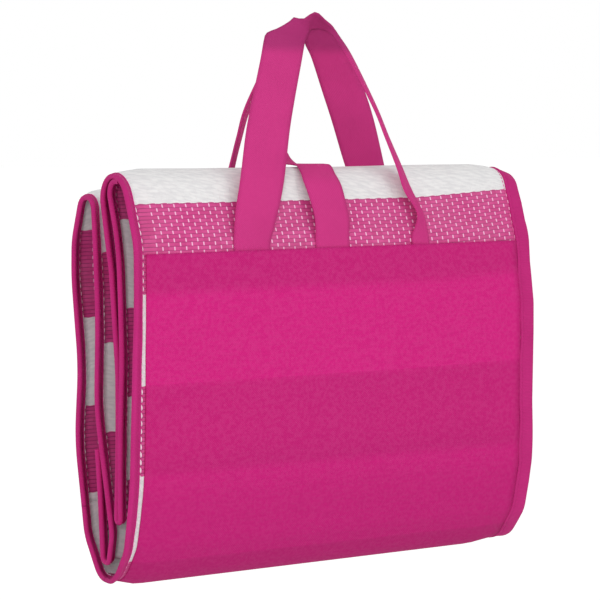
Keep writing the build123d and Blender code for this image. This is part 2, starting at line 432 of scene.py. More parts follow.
# %% where a spot on the cloth lies
def side_line(s):
    """The side line at s, carried straight on past both ends."""
    inside = np.clip(s, 0, CLOTH_LENGTH)
    first = (route[0] - route[1]) / np.linalg.norm(route[0] - route[1])
    last = (route[-1] - route[-2]) / np.linalg.norm(route[-1] - route[-2])
    before = np.where(s < 0, -s, 0)[..., None]
    after = np.where(s > CLOTH_LENGTH, s - CLOTH_LENGTH, 0)[..., None]
    line = np.stack([np.interp(inside, along, route[:, k]) for k in (0, 1)], -1)
    return line + (before * first + after * last)


def middle(s, x):
    """The middle of the cloth's thickness, in mm, as (x, depth, height)."""
    line = side_line(s)
    depth, height = line[..., 0], line[..., 1]
    low_face = rise(s - FRONT_CREST - 20, 60) * rise(BOTTOM - s, 100)
    past = np.clip(MARGIN - HALF_WIDTH - x, 0, None)
    past = np.where(past < 8, past * past / 16, past - 4)
    turn = CURL + (FACE_CURL - CURL) * low_face + 0.05 * np.sin(s / 61.0)
    take_up = TAKE_UP + (FACE_TAKE_UP - TAKE_UP) * low_face
    inward = (1 - np.cos(turn)) * past + take_up * np.clip(-2 * x / MAT_WIDTH, 0, 1)
    depth = depth - np.sin(turn) * past + leaning(s, x, height)
    return np.stack([x + inward, depth, height - sagging(s, x, past)], -1)


def spot(s, x, h):
    """The place of a spot s along, x across and h out of the cloth's middle, in metres."""
    s, x, h = np.broadcast_arrays(*(np.asarray(part, float) for part in (s, x, h)))
    s_way = middle(s + 1.5, x) - middle(s - 1.5, x)
    x_way = middle(s, x + 0.5) - middle(s, x - 0.5)
    out = np.cross(s_way, x_way)
    out /= np.linalg.norm(out, axis=-1, keepdims=True)
    place = middle(s, x) + out * (h + proud(s, x))[..., None]
    return (place + np.array([0, 0, UNDERSIDE])) * MM


left_edge = -spot(BOTTOM - 400, -HALF_WIDTH, 0)[1] / MM
print("the left edge lies", round(left_edge, 1), "mm in front of the grip")

# %% [markdown]
# ## A closed sheet from a grid
# A sheet in Blender can be a single layer with a Solidify modifier, or two layers that we
# make ourselves. We make both layers and the narrow rim, because the layers then follow
# the folds exactly and the mesh is closed from the start. The cloth's own two directions
# go into a UV map, so that a woven pattern follows the cloth through its folds.


# %% sheets and tubes as meshes
def new_piece(name, points, faces, material, lay, flat):
    """A mesh object from points in metres; lay gives each point its two UV numbers.

    The last few faces, as many as flat says, are shaded flat: they are cut ends.
    """
    made = bpy.data.meshes.new(name)
    made.from_pydata([tuple(point) for point in points], [], [tuple(face) for face in faces])
    corners = np.array([loop.vertex_index for loop in made.loops])
    layer = made.uv_layers.new(name="cloth")
    layer.data.foreach_set("uv", np.asarray(lay, float)[corners].ravel())
    count = len(made.polygons)
    made.polygons.foreach_set("use_smooth", [k < count - flat for k in range(count)])
    made.materials.append(material)
    piece = bpy.data.objects.new(name, made)
    bpy.context.collection.objects.link(piece)
    print(name, len(points), "points")
    return piece


def grid_faces(rows, columns, first=0, flip=False):
    """Quads of a grid of points, turned over if flip."""
    at = np.arange(rows * columns).reshape(rows, columns) + first
    quads = np.stack([at[:-1, :-1], at[:-1, 1:], at[1:, 1:], at[1:, :-1]], -1).reshape(-1, 4)
    return quads[:, ::-1] if flip else quads


def outward(piece):
    """Turns a closed mesh's faces outward."""
    work = bmesh.new()
    work.from_mesh(piece.data)
    bmesh.ops.recalc_face_normals(work, faces=work.faces)
    work.to_mesh(piece.data)
    work.free()
    return piece


def closed_sheet(name, outer, inner, material, lay):
    """Two grids of points, joined round their rims. Outer is the side that faces out."""
    rows, columns = outer.shape[:2]
    count = rows * columns
    at = np.arange(count).reshape(rows, columns)
    ring = np.concatenate([at[0, :-1], at[:-1, -1], at[-1, :0:-1], at[:0:-1, 0]])
    after = np.roll(ring, -1)
    rim = np.stack([ring, ring + count, after + count, after], -1)[:, ::-1]
    faces = [grid_faces(rows, columns), grid_faces(rows, columns, count, True), rim]
    points = np.concatenate([outer.reshape(-1, 3), inner.reshape(-1, 3)])
    lay = np.concatenate([lay.reshape(-1, 2)] * 2)
    return outward(new_piece(name, points, np.concatenate(faces), material, lay, len(rim)))


def tube(name, rings, material, lay):
    """Rings of points swept into a closed tube with flat ends."""
    rows, columns = rings.shape[:2]
    at = np.arange(rows * columns).reshape(rows, columns)
    across = np.roll(at, -1, axis=1)
    sides = np.stack([at[:-1], across[:-1], across[1:], at[1:]], -1).reshape(-1, 4)
    faces = [tuple(face) for face in sides] + [tuple(at[0][::-1]), tuple(at[-1])]
    points, lay = rings.reshape(-1, 3), lay.reshape(-1, 2)
    return outward(new_piece(name, points, faces, material, lay, 2))


print("sheet makers ready")

# %% [markdown]
# ## The woven cloth's colours
# The mat is woven from flat plastic straws over a cotton warp. Broad white and pink bands
# cross it. In a pink band every row of straws shows short pale warp stitches, set half a
# step aside from row to row like bricks; in a white band the same stitches are white on
# white, and only their relief shows. A picture of the weave would stop at its own size,
# so the rows, stitches and bands are worked out from the cloth's UV map instead.

# %% the bands
BAND = 89.5                 # one stripe, along the cloth, in mm
PINK_MIDDLE = BOTTOM - 12   # a pink stripe's middle lies just in front of the bottom
FLAP_SLIP = -58.5           # the free flap's stripes are out of step by this much
POSITIVE = 50               # whole pairs of stripes, so that no number is below 0


def band_share(shader, v, soft):
    """1 in a pink band, 0 in a white one; v in mm along the cloth."""
    turn = ((v - PINK_MIDDLE) * (1 / (2 * BAND)) + 0.25 + POSITIVE).fraction()
    inside = (turn - 0.25).size() * (2 * BAND)
    return 1 - inside.ramp(BAND / 2 - soft, BAND / 2 + soft)


def cloth_numbers(shader):
    """The UV map's two numbers as mm across and mm along."""
    lay = shader.parts(shader.node("ShaderNodeUVMap", {"uv_map": "cloth"}))
    return lay[0] * 1000, lay[1] * 1000


print("stripes of", BAND, "mm")

# %% where the straws and their stitches lie
ROW = 3.95                  # one row of straws
STITCH_STEP = 13.6          # from one warp stitch to the next in a row
SELVEDGE = 36.0             # this near the left edge the cloth has no warp stitches
weave = Shader("woven_straw")
u, v = cloth_numbers(weave)
pink = band_share(weave, v + u.wave(STITCH_STEP) * 0.35, 0.4)
rows = v * (1 / ROW) + 1000
row = rows.whole()
from_row = rows.fraction() - 0.5                # -0.5 to 0.5 across one straw
aside = row.maths("FLOORED_MODULO", 2) * (STITCH_STEP / 2)      # every other row half a step
step = (u + aside - from_row * 0.2) * (1 / STITCH_STEP) + 100
column = step.whole()
off_stitch = (step.fraction() - 0.5).size()     # 0 at a stitch, 0.5 between two
stitched = u.ramp(SELVEDGE - 0.5, SELVEDGE + 0.5)
stitch = 1 - (off_stitch * STITCH_STEP).ramp(0.35, 1.0)
stitch = stitch * (1 - from_row.size().ramp(0.34, 0.52)) * stitched
print("rows of", ROW, "mm")

# %% how the straws look
crown = (1 - from_row * from_row * 4) * (0.4 + off_stitch * 1.2)    # full between two stitches
streaks = weave.drawn_out(u * 0.10, v * 0.9, 3.0)
lot_number = {"W": row * 7.13 + column * 3.71}      # each straw between two stitches its own
lot = weave.node("ShaderNodeTexWhiteNoise", {"noise_dimensions": "1D"}, lot_number)
# painted shadow: gap darkens the line between two rows of straws, most where a straw bulges
# between stitches and shades the next row
gap = from_row.size().ramp(0.30, 0.5) * (0.5 - stitched * 0.2 + off_stitch * 1.0)
gap = gap * (0.35 + streaks * 1.3)
place = weave.own_place()
cloudy = weave.noise(place, 14.0, 3.0)
grain = weave.noise(place, 420.0, 2.0)
drift = weave.drawn_out((u + v * 0.25) * 0.07, (v - u * 0.25) * 0.36, 2.0)

pink_cloth = weave.mix(lot * 0.55 + streaks * 0.45, colour(196, 48, 122), colour(218, 78, 148))
# the painted shadow between rows, on the pink straws
pink_cloth = weave.mix((gap * 1.25).lowest(1.0), pink_cloth, colour(146, 36, 98))
pink_cloth = weave.mix(stitch, pink_cloth, colour(250, 192, 224))
# painted highlight: the white straws are lighter on their crowns between stitches; drift adds
# lighter diagonal streaks
bright = crown.lowest(1.0) * 0.25 + drift.ramp(0.35, 0.65) * 0.75
white_cloth = weave.mix(bright, colour(221, 220, 221), colour(238, 237, 236))
# the painted shadow between rows, fainter on the white straws
white_cloth = weave.mix(gap.lowest(1.0) * 0.12, white_cloth, colour(205, 203, 206))
cloth_colour = weave.mix(pink, white_cloth, pink_cloth)
cloth_colour = weave.mix(cloudy.ramp(0.35, 0.75) * 0.08, cloth_colour, colour(190, 170, 182))
relief = crown * (0.15 + pink * 0.6) + drift * 0.8 + stitch * 0.5 + grain * 0.2 + streaks * 0.4
weave.feed(Base_Color=cloth_colour, Roughness=0.5, Specular_IOR_Level=0.3)
weave.feed(Normal=weave.bump(relief, 0.5, 0.0006))
print("finish:", weave.material.name)

# %% [markdown]
# ## The finishes of tape, panel and straps
# The binding is a finely ribbed tape. The panel is spun, unwoven fabric, pressed with slanting
# lines, and so thin that the mat's stripes show through it; painted shade darkens it towards
# the bottom. The straps are pressed webbing, with painted shade near the grip. Image textures
# could show all this, but formulas on the cloth's own numbers stay sharp at any distance and
# need no files.

# %% the binding tape
RIB = 1.6                   # from one rib of the tape to the next, in mm
tape = Shader("binding_tape")
u, v = cloth_numbers(tape)
ribs = (v.wave(RIB) + 1) * 0.5
place = tape.own_place()
worn = tape.noise(place, 30.0, 3.0)
tape_colour = tape.mix(worn.ramp(0.3, 0.8) * 0.5, colour(203, 40, 126), colour(186, 30, 112))
tape_colour = tape.mix(ribs * 0.22, tape_colour, colour(160, 22, 96))
tape.feed(Base_Color=tape_colour, Roughness=0.7, Specular_IOR_Level=0.2)
tape.feed(Normal=tape.bump(ribs + tape.noise(place, 600.0) * 0.5, 0.7, 0.0005))
print("finish:", tape.material.name)

# %% the spun panel
HATCH = 2.4                 # from one pressed line to the next
BOTTOM_SHADE_REACH = 190              # painted shade: the fabric this near the bottom is darker
panel = Shader("spun_panel")
u, v = cloth_numbers(panel)
through = band_share(panel, v, 7.0)
emboss = (u + v).wave(HATCH) * 0.7 + (u - v).wave(HATCH) * 0.3
place = panel.own_place()
fibres = panel.noise(place, 260.0, 3.0)
blotch = panel.noise(place, 9.0, 2.0)
weft = panel.drawn_out(u * 0.05, v * 0.5, 3.0)
# painted shade: low is 1 at the bottom and fades out upward; it darkens the panel's colour
low = 1 - ((v - BOTTOM) * (v - BOTTOM) * (1 / BOTTOM_SHADE_REACH ** 2)).ramp(0.1, 1.0)
spun = panel.mix(through, colour(209, 26, 124), colour(191, 24, 112))
spun = panel.mix(blotch.ramp(0.3, 0.8) * 0.25, spun, colour(200, 22, 114))
spun = panel.mix(emboss.ramp(-0.4, 0.9) * 0.26, spun, colour(224, 58, 144))
spun = panel.mix(weft.ramp(0.35, 0.7) * 0.22, spun, colour(186, 26, 112))
spun = panel.mix(fibres.ramp(0.35, 0.65) * 0.08, spun, colour(238, 110, 176))
spun = panel.mix(low * 0.3, spun, colour(140, 20, 84))
panel.feed(Base_Color=spun, Roughness=0.8, Specular_IOR_Level=0.15)
panel.feed(Normal=panel.bump(emboss * 0.5 + fibres * 0.8, 0.5, 0.0005))
print("finish:", panel.material.name)

# %% the strap webbing
TWILL = 2.4                 # from one slanting rib to the next
CROSS_RIB = 1.1
GRIP_SHADE_HEIGHTS = (-0.024, -0.010)  # painted shade: the webbing darkens between these heights, in metres
strap = Shader("strap_webbing")
u, v = cloth_numbers(strap)
twill = (u - v).wave(TWILL)
cross = (u + v).wave(CROSS_RIB)
place = strap.own_place()
height = strap.parts(place)[2]
worn = strap.noise(place, 24.0, 3.0)
fibres = strap.noise(place, 300.0, 3.0)
# painted shade near the grip, where the webbing leans back: 1 above these heights, its edge
# made wavy by the worn noise
grip_shade = (height + (worn - 0.5) * 0.006).ramp(*GRIP_SHADE_HEIGHTS)
fluffed = (twill.ramp(-0.2, 1.0) * 0.7 + fibres * 0.5) * 0.22
strap_colour = strap.mix(worn.ramp(0.3, 0.8) * 0.5, colour(204, 46, 127), colour(188, 38, 115))
strap_colour = strap.mix(fluffed, strap_colour, colour(226, 92, 158))
# the painted shade near the grip
strap_colour = strap.mix(grip_shade * 0.42, strap_colour, colour(122, 36, 88))
strap.feed(Base_Color=strap_colour, Roughness=0.75, Specular_IOR_Level=0.2)
strap.feed(Normal=strap.bump(twill * 0.5 + cross * 0.2 + fibres * 0.5, 0.5, 0.0004))
print("finish:", strap.material.name)

# %% [markdown]
# ## The woven mat
# The cloth is laid out in three runs: the front half with its flap, a short run round the
# bottom, and the back half with its tail. Each run is a closed sheet, and the runs meet edge
# to edge under the panel.

# %% a run of cloth
CLOTH_T = 2.6
HALF_T = CLOTH_T / 2
CLOTH_IN = 2                # the cloth ends this far inside its bindings


def at(depth, height, x=0.0):
    """A point of the frame from its depth and its height over the underside, in metres."""
    return (x * MM, depth * MM, (height + UNDERSIDE) * MM)


def steps_along(start, end):
    """Places along the cloth that keep every bend's own points."""
    inner = along[(along > start + 0.5) & (along < end - 0.5)]
    return np.concatenate([[start], inner, [end]])


def steps_across(left, right, step=9.0):
    """Places across the cloth, closer together where its margin curls."""
    count = round((right - left) / step)
    even = np.linspace(left, right, count + 1)
    fine = np.arange(-HALF_WIDTH + 2, MARGIN - HALF_WIDTH + 4, 3.0)
    fine = fine[(fine > left) & (fine < right)]
    return np.unique(np.round(np.concatenate([even, fine]), 2))


# Where some edges between the stripes have come to lie: (place along the cloth, stripe).
# Even stripes would miss these places, so the pattern is uneven.
edges = [(PINK_MIDDLE - 410.7, -4.5), (PINK_MIDDLE - 137, -1.5), (PINK_MIDDLE - 41.8, -0.5),
         (BOTTOM + 9, 0.5), (BOTTOM + 104.5, 1.5), (BOTTOM + 382, 4.5), (BOTTOM + 505, 5.5),
         (BOTTOM + 783, 8.5)]
band_s = [0, FLAP_TURN - 1, FLAP_TURN + 1] + [place for place, stripe in edges]
band_v = [FLAP_SLIP, FLAP_TURN + FLAP_SLIP, FLAP_TURN + 1]
band_v += [PINK_MIDDLE + stripe * BAND for place, stripe in edges]
band_s.append(CLOTH_LENGTH)
band_v.append(band_v[-1] + CLOTH_LENGTH - edges[-1][0])


def lay_of(s, x):
    """UV numbers: metres across, and metres along with the stripes where they have come."""
    skew = 8.0 * rise(x - 110, 125) ** 1.3 * bell(s - FRONT_CREST - 60, 150)
    return np.stack([(x + HALF_WIDTH) * MM, (np.interp(s, band_s, band_v) + skew) * MM], -1)


def cloth_run(name, span, heights, sides, material, pushed_out=None):
    """A closed sheet on a span of the cloth, between two heights out of it."""
    s, x = np.meshgrid(steps_along(*span), steps_across(*sides), indexing="ij")
    more = pushed_out(s, x) if pushed_out else 0.0
    inner, outer = (spot(s, x, height + more) for height in heights)
    return closed_sheet(name, outer, inner, material, lay_of(s, x))


print("stripes pinned at", len(edges), "edges")

# %% front, base and back
RUNS = ("front", "base", "back")


def bend_front(piece):
    """Bakes the piece's place into its mesh; the front fold's corners are worked out but not
    used.
    """
    at(*FRONT_BEND[0])
    at(*FRONT_BEND[1])
    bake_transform(piece)


def bend_back(piece):
    """Bakes the piece's place into its mesh; the back fold's corners are worked out but not
    used.
    """
    at(*BACK_BEND[0])
    at(*BACK_BEND[1])
    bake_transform(piece)


def in_runs(name, start, node, make, *details):
    """Makes a piece for each run; the first two have their place baked in, the last rides.

    It starts at start and ends as far from the cloth's end; each piece stands for a node.
    """
    spans = ((start, BOTTOM), (BOTTOM, BASE_END), (BASE_END, CLOTH_LENGTH - start))
    pieces = [make(f"{name}_{run}", span, *details) for run, span in zip(RUNS, spans)]
    bend_front(pieces[0])
    bend_back(pieces[1])
    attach(pieces[2], "back_half")
    if node:
        for piece, run in zip(pieces, RUNS):
            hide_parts(f"{node}_{run}")
    return pieces


cloth_heights = (-HALF_T, HALF_T)
cloth_sides = (CLOTH_IN - HALF_WIDTH, HALF_WIDTH - CLOTH_IN)
woven_front, woven_base, woven_back = in_runs(
    "woven", CLOTH_IN, "mat", cloth_run, cloth_heights, cloth_sides, weave.material
)

# %% [markdown]
# ## The bindings
# A folded tape is sewn over each long edge so that the straws can't slip out. From the
# end it is a U with a round back, so we sweep a rounded U section along the cloth. A curve
# with a bevel would not follow the cloth's curl. Only the outside of the U is made, because
# the cloth fills it.

# %% tapes along the sides
TAPE_H, TAPE_LIP = 2.7, 1.5     # half its thickness; how far it passes the mat's edge
LIP_R = 2.2                     # round back of the U
LEFT_TAPE_W = 13.5              # the left one is turned in further
# Its rolled inner edge: (back from the edge, up from the tape's face).
rolled = [(5, -0.2), (4, -0.8), (2.6, 0.4), (1.2, 0.5), (0.2, -0.2)]


def tape_section(wide=TAPE_W):
    """Points round the tape's section, as (in from the edge, out of the cloth)."""
    turns = np.linspace(-math.pi / 2, math.pi / 2, 7)
    lip = [(-TAPE_LIP + LIP_R - LIP_R * math.cos(a), TAPE_H * math.sin(a)) for a in turns]
    face = [(5, TAPE_H - 0.3)] + [(wide - back, TAPE_H + up) for back, up in rolled]
    face.append((wide, 1.0))
    return np.array(lip + face + [(across, -out) for across, out in face[::-1]])


def side_tape(name, span, side):
    """The tape on the left (-1) or right (1) edge, on a span of the cloth."""
    section = tape_section(TAPE_W if side > 0 else LEFT_TAPE_W)
    inward, out = section[None, :, 0], section[None, :, 1]
    s = steps_along(*span)[:, None]
    crinkle = 0.5 * np.sin(s / 13.0 + side) + 0.35 * np.sin(s / 7.3)
    x = side * (HALF_WIDTH - inward - np.where(inward > 9, crinkle, 0))
    s, x, out = np.broadcast_arrays(s, x, out)
    return tube(name, spot(s, x, out), tape.material, lay_of(s, out * 3 + x))


tapes = []
for side, word in ((-1, "left"), (1, "right")):
    tapes += in_runs(f"tape_{word}", -TAPE_LIP, f"binding_{word}", side_tape, side)


# %% tapes over the free ends
def end_tape(name, s_across, body, node):
    """The tape over a free end of the cloth, between the side tapes."""
    reach = HALF_WIDTH - TAPE_W + 1
    x = np.linspace(-reach, reach, 60)[:, None]
    s, x, out = np.broadcast_arrays(s_across[None, :], x, tape_section()[None, :, 1])
    piece = tube(name, spot(s, x, out), tape.material, np.stack([s * MM, x * MM], -1))
    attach(piece, body)
    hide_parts(node)
    return piece


inward = tape_section()[:, 0]
tapes.append(end_tape("tape_end_front", inward, "front_half", "end_binding_front"))
tapes.append(end_tape("tape_end_back", CLOTH_LENGTH - inward, "back_half", "end_binding_back"))
print("tapes:", len(tapes))

# %% [markdown]
# ## The panel of the carrier
# A panel of spun, unwoven fabric wraps the lower part of the pack from the front, round
# the bottom and up the back. The straps are sewn on under its top edge, and push it out.
# Cloth simulation could find that bulge, but it is small and plain enough for a formula.

# %% the panel
PANEL_SIDES = (-223.0, 233.0)
PANEL_HEIGHTS = (HALF_T + 0.25, HALF_T + 1.15)      # its two faces, out of the cloth's middle
PANEL_REACH = 34            # the straps push it out as far down as this
STRAP_T = 1.7
front_feet = [(-99, 27), (103.5, 16), (-5.5, 25)]   # middle and half width of each strap
back_feet = [(-58, 27), (148, 27)]


def pushed(feet, edge_s):
    """How far straps under the panel's top edge push it out."""
    def lift(s, x):
        total = np.zeros_like(s)
        for centre, half_width in feet:
            total = np.maximum(total, np.clip(1.6 - np.abs(x - centre) / half_width, 0, 1))
        near = np.clip(1 - np.abs(s - edge_s) / PANEL_REACH, 0, 1)
        near = near * near * (3 - 2 * near)
        ripple = 0.22 * (2 + np.sin(x / 10.5 + s / 9.0) + np.sin(x / 6.1 - s / 14.0 + 1))
        return near * (STRAP_T * 1.25 * total + ripple)
    return lift


panel_front = cloth_run("panel_front", (FRONT_EDGE, BOTTOM), PANEL_HEIGHTS, PANEL_SIDES,
                        panel.material, pushed(front_feet, FRONT_EDGE))
panel_back = cloth_run("panel_back", (BOTTOM, BACK_EDGE), PANEL_HEIGHTS, PANEL_SIDES,
                       panel.material, pushed(back_feet, BACK_EDGE))
bend_front(panel_front)
bend_back(panel_back)
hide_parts("carry_panel_front", "carry_panel_base")
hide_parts("carry_panel_back")

# %% [markdown]
# ## The handles and the closing strap
# Each handle is one length of webbing whose ends are sewn under the panel's edge. In the
# hand the webbing bunches up, and one leg of each loop has folded in half along its
# length. We give both edges of the webbing at a row of stations and let a smooth curve
# run through them, because a strap swept along one middle line could not fold, bunch or
# turn its edge to us.


# %% webbing from pairs of edge points
def smooth_through(points, count):
    """A smooth curve through points (Catmull-Rom), with evenly spaced samples."""
    points = np.array(points, float)
    ends = [2 * points[0] - points[1], *points, 2 * points[-1] - points[-2]]
    out = []
    for a, b, c, d in zip(ends, ends[1:], ends[2:], ends[3:]):
        for t in np.linspace(0, 1, 24, endpoint=False):
            out.append(0.5 * (2 * b + (c - a) * t + (2 * a - 5 * b + 4 * c - d) * t * t
                              + (3 * b - a - 3 * c + d) * t ** 3))
    out = np.array(out + [points[-1]])
    gone = lengths(out[:, :3])
    even = np.linspace(0, gone[-1], count)
    return np.stack([np.interp(even, gone, out[:, k]) for k in range(out.shape[1])], -1)


HANDLE_W = 45
ACROSS = 9                  # points across a strap
THIN_EDGE = 0.55            # its edges are pressed to this share of its thickness


def webbing(name, stations, count=90):
    """A strap from stations of (left edge, right edge, thickness, hollow across), in mm."""
    rows = [(*left, *right, thick, hollow) for left, right, thick, hollow in stations]
    middle_first = [tuple((np.array(r[:3]) + np.array(r[3:6])) / 2) + tuple(r) for r in rows]
    path = smooth_through(middle_first, count)
    left, right, thick, hollow = path[:, 3:6], path[:, 6:9], path[:, 9], path[:, 10]
    share = np.linspace(0, 1, ACROSS)
    flat = left[:, None] * (1 - share)[None, :, None] + right[:, None] * share[None, :, None]
    out = np.cross(right - left, np.gradient((left + right) / 2, axis=0))
    out /= np.linalg.norm(out, axis=1, keepdims=True)
    bow = (1 - (2 * share - 1) ** 2)[None, :] * hollow[:, None]
    flat = flat + out[:, None] * bow[..., None]
    fullness = np.ones(ACROSS)
    fullness[[0, -1]] = THIN_EDGE
    body = thick[:, None] / 2 * fullness[None, :]
    outer, inner = (flat + side * out[:, None] * body[..., None] for side in (1, -1))
    gone = lengths((left + right) / 2)
    lay = np.stack(np.broadcast_arrays(share * HANDLE_W, gone[:, None]), -1)
    outer, inner = ((face + np.array([0, 0, UNDERSIDE])) * MM for face in (outer, inner))
    piece = closed_sheet(name, outer, inner, strap.material, lay * MM)
    return piece


def foot(edge_s, x, above):
    """A point on the cloth beside the panel's top edge, above it or below it, in mm."""
    way = -1 if edge_s < BOTTOM else 1
    place = spot(edge_s + way * above, x, HALF_T + STRAP_T / 2 + 0.1) / MM
    return (place[0], place[1], place[2] - UNDERSIDE)


def foot_stations(edge_s, left, right, thick):
    """The stations where a strap comes out from under the panel's edge."""
    heights = (-12, -5, 1, 8)
    return [(foot(edge_s, left, up), foot(edge_s, right, up), thick, 0) for up in heights]


print("webbing maker ready")

# %% the front handle
W = STRAP_T
FOLDED = 3.2                # thickness where the webbing is folded in half
front_handle = webbing("handle_front", foot_stations(FRONT_EDGE, -120, -76, W) + [
    ((-113, -62, 378), (-64, -62, 376), W, 0.4), ((-105, -57, 409), (-54, -57, 408), W, 0.8),
    ((-91, -44, 458), (-40, -44, 458), W, 1.5), ((-78, -34, 492), (-28, -34, 492), W, 1.5),
    ((-61, -20, 531), (-12, -20, 530), W, 1), ((-51, -10, 553), (-4, -12, 547), W, 0.6),
    ((-46, -7, 560), (-1, -9, 552), W, 0.3), ((-32, -5, 565), (1, -8, 556), W, 0),
    ((-18, -4, 572), (3, -7, 558), 2, 0), ((-11, -4, 577), (4, -6, 560), 2.2, 0),
    ((-2, -6, 575), (7, -4, 562), 2.2, 0), ((8, -15, 582), (13, 4, 564), 2.2, -2),
    ((20, -15, 574), (23, 2, 565.5), 2.4, -1), ((33, -10, 567), (30, -5, 562), 3, 0),
    ((41, -8, 558), (36, -9, 554), FOLDED, 0), ((55, -12, 535), (46, -19, 535), FOLDED, 0),
    ((76, -26, 483), (66, -38, 483), FOLDED, 0), ((86, -35, 451), (75, -48, 451), FOLDED, 0),
    ((98, -42, 420), (84, -56, 420), FOLDED, 0), ((107, -48, 395), (91, -60, 395), FOLDED, 0),
    ((116, -58, 369), (105, -64, 370), FOLDED, 0),
] + foot_stations(FRONT_EDGE, 119, 98, FOLDED)[::-1], count=150)
at(-71, 337)
at(-71, 346)
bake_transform(front_handle)
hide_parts("front_handle")

# %% the back handle
back_handle = webbing("handle_back", foot_stations(BACK_EDGE, 170, 126, W) + [
    ((161, 76, 380), (117, 76, 379), W, 0), ((146, 68, 418), (95, 68, 418), W, 0.8),
    ((122, 52, 469), (68, 52, 468), W, 1.5), ((101, 40, 504), (48, 40, 502), W, 1.5),
    ((74, 24, 536), (26, 24, 535), W, 1), ((57, 14, 553), (12, 14, 550), W, 0.5),
    ((46, 8, 563), (8, 8, 560), W, 0.2), ((28, 3, 570), (7, 6, 563), 2.4, 0),
    ((12, 2, 573), (3, 6, 562), 3, 0), ((-4, 2, 571), (-9, 7, 561), 3, 0),
    ((-18, 4, 562), (-24, 9, 552), FOLDED, 0), ((-28, 18, 530), (-38, 10, 528), FOLDED, 0),
    ((-39, 42, 482), (-52, 30, 482), FOLDED, 0), ((-41, 58, 451), (-53, 46, 451), FOLDED, 0),
    ((-42, 73, 417), (-52, 66, 418), FOLDED, 0), ((-43, 80, 380), (-60, 75, 380), FOLDED, 0),
] + foot_stations(BACK_EDGE, -44, -67, FOLDED)[::-1], count=150)
at(84, 337)
at(84, 346)
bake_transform(back_handle)
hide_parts("back_handle")

# %% the closing strap
free_end = [((-28, -8, 424), (11, -8, 420), W, 0), ((-35, 10, 428), (3, 8, 420.5), W, 0),
            ((-38, 26, 435), (0, 22, 427), W, 0), ((-38, 40, 438), (1, 37, 436), W, 0),
            ((-37, 52, 426), (2, 50, 425), W, 0), ((-36, 61, 411), (3, 60, 409), W, 0)]
closing_strap = webbing("strap_closing", foot_stations(FRONT_EDGE, -21, 20, W) + [
    ((-22, -65.5, 368), (19, -65.5, 367), W, 0), ((-25, -59, 390), (17, -61, 386), W, 0),
    ((-28, -52, 407), (16, -54, 402), W, 0), ((-26, -42, 416), (16, -42, 413), W, 0),
    ((-22.5, -26, 422.5), (18, -26, 422.5), W, 0),
] + free_end)
at(-71, 337)
at(-71, 346)
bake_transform(closing_strap)
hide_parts("closing_strap")

# %% [markdown]
# ## Hook and loop
# Under the closing strap's free end sits a patch of hooks, and high on the panel's back the
# patch of loops that it grips. Rows of tiny hooks could be instanced one by one, but at
# this size they read as a fine grid, so the hooks and the loops are a bump in each finish.

# %% the finishes of the two patches
HOOK_STEP = 0.0016          # from one row of hooks to the next, in metres
hooks = Shader("hook_tape")
place = hooks.own_place()
wide, deep, _ = hooks.parts(place)
studs = wide.wave(HOOK_STEP) * deep.wave(HOOK_STEP)
shade = hooks.noise(place, 500.0, 2.0)
hook_colour = hooks.mix(studs.ramp(-0.2, 0.8), colour(150, 24, 92), colour(205, 70, 140))
hooks.feed(Base_Color=hook_colour, Roughness=0.45)
hooks.feed(Normal=hooks.bump(studs + shade * 0.4, 0.8, 0.0006))

loops = Shader("loop_tape")
place = loops.own_place()
fluff = loops.noise(place, 900.0, 4.0)
tufts = loops.noise(place, 260.0, 3.0)
loop_colour = loops.mix(fluff, colour(160, 30, 100), colour(214, 72, 146))
loops.feed(Base_Color=loop_colour, Roughness=0.95)
loops.feed(Normal=loops.bump(fluff + tufts, 0.9, 0.0008))
print("finishes:", hooks.material.name, loops.material.name)

# %% the two patches
PATCH_T = 1.2
PATCH_IN = 0.16             # share of the strap's width left bare on each side of the hooks
LOOP_SPAN = (42, 8)         # the loops reach from here to here below the panel's back edge
LOOP_SIDES = (-23, 5)
under_strap = np.array([0, -0.3, -1.5])
inset = []
for left, right, thick, hollow in free_end[3:]:
    first, last = np.array(left, float), np.array(right, float)
    ends = (first + (last - first) * share + under_strap for share in (PATCH_IN, 1 - PATCH_IN))
    inset.append((*(tuple(end) for end in ends), PATCH_T, 0))
patch_hooks = webbing("patch_hooks", inset, 30)
patch_hooks.data.materials[0] = hooks.material
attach(patch_hooks, "closing_strap")
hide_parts("hook_patch")

s, x = np.meshgrid(np.linspace(BACK_EDGE - LOOP_SPAN[0], BACK_EDGE - LOOP_SPAN[1], 18),
                   np.linspace(*LOOP_SIDES, 15), indexing="ij")
on_panel = PANEL_HEIGHTS[1] + pushed(back_feet, BACK_EDGE)(s, x)
over, under = (spot(s, x, on_panel + gap) for gap in (1.0, 0.02))
patch_loops = closed_sheet("patch_loops", over, under, loops.material, lay_of(s, x))
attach(patch_loops, "back_half")
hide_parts("loop_patch")

# %% [markdown]
# ## Stitches
# Beside the left binding runs a double row of short stitches in pale thread, one row half
# a step behind the other; beside the right one a single fine row in pink. There are
# thousands, so Geometry Nodes sets them: we lay a bare line of edges on the cloth, and the
# tree puts a slim bead of thread at even steps along it. Modelling one stitch and an Array
# modifier would do on a straight line only.


# %% the two threads
def thread_finish(name, dull, bright):
    """A twisted thread, between two colours."""
    thread = Shader(name)
    twist = thread.noise(thread.own_place(), 1500.0, 1.0)
    thread.feed(Base_Color=thread.mix(twist, dull, bright), Roughness=0.6)
    thread.feed(Normal=thread.bump(twist, 0.3, 0.0002))
    return thread.material


pale_thread = thread_finish("pale_thread", colour(250, 206, 230), colour(255, 238, 247))
pink_thread = thread_finish("pink_thread", colour(206, 48, 130), colour(230, 110, 170))
print("threads:", pale_thread.name, pink_thread.name)

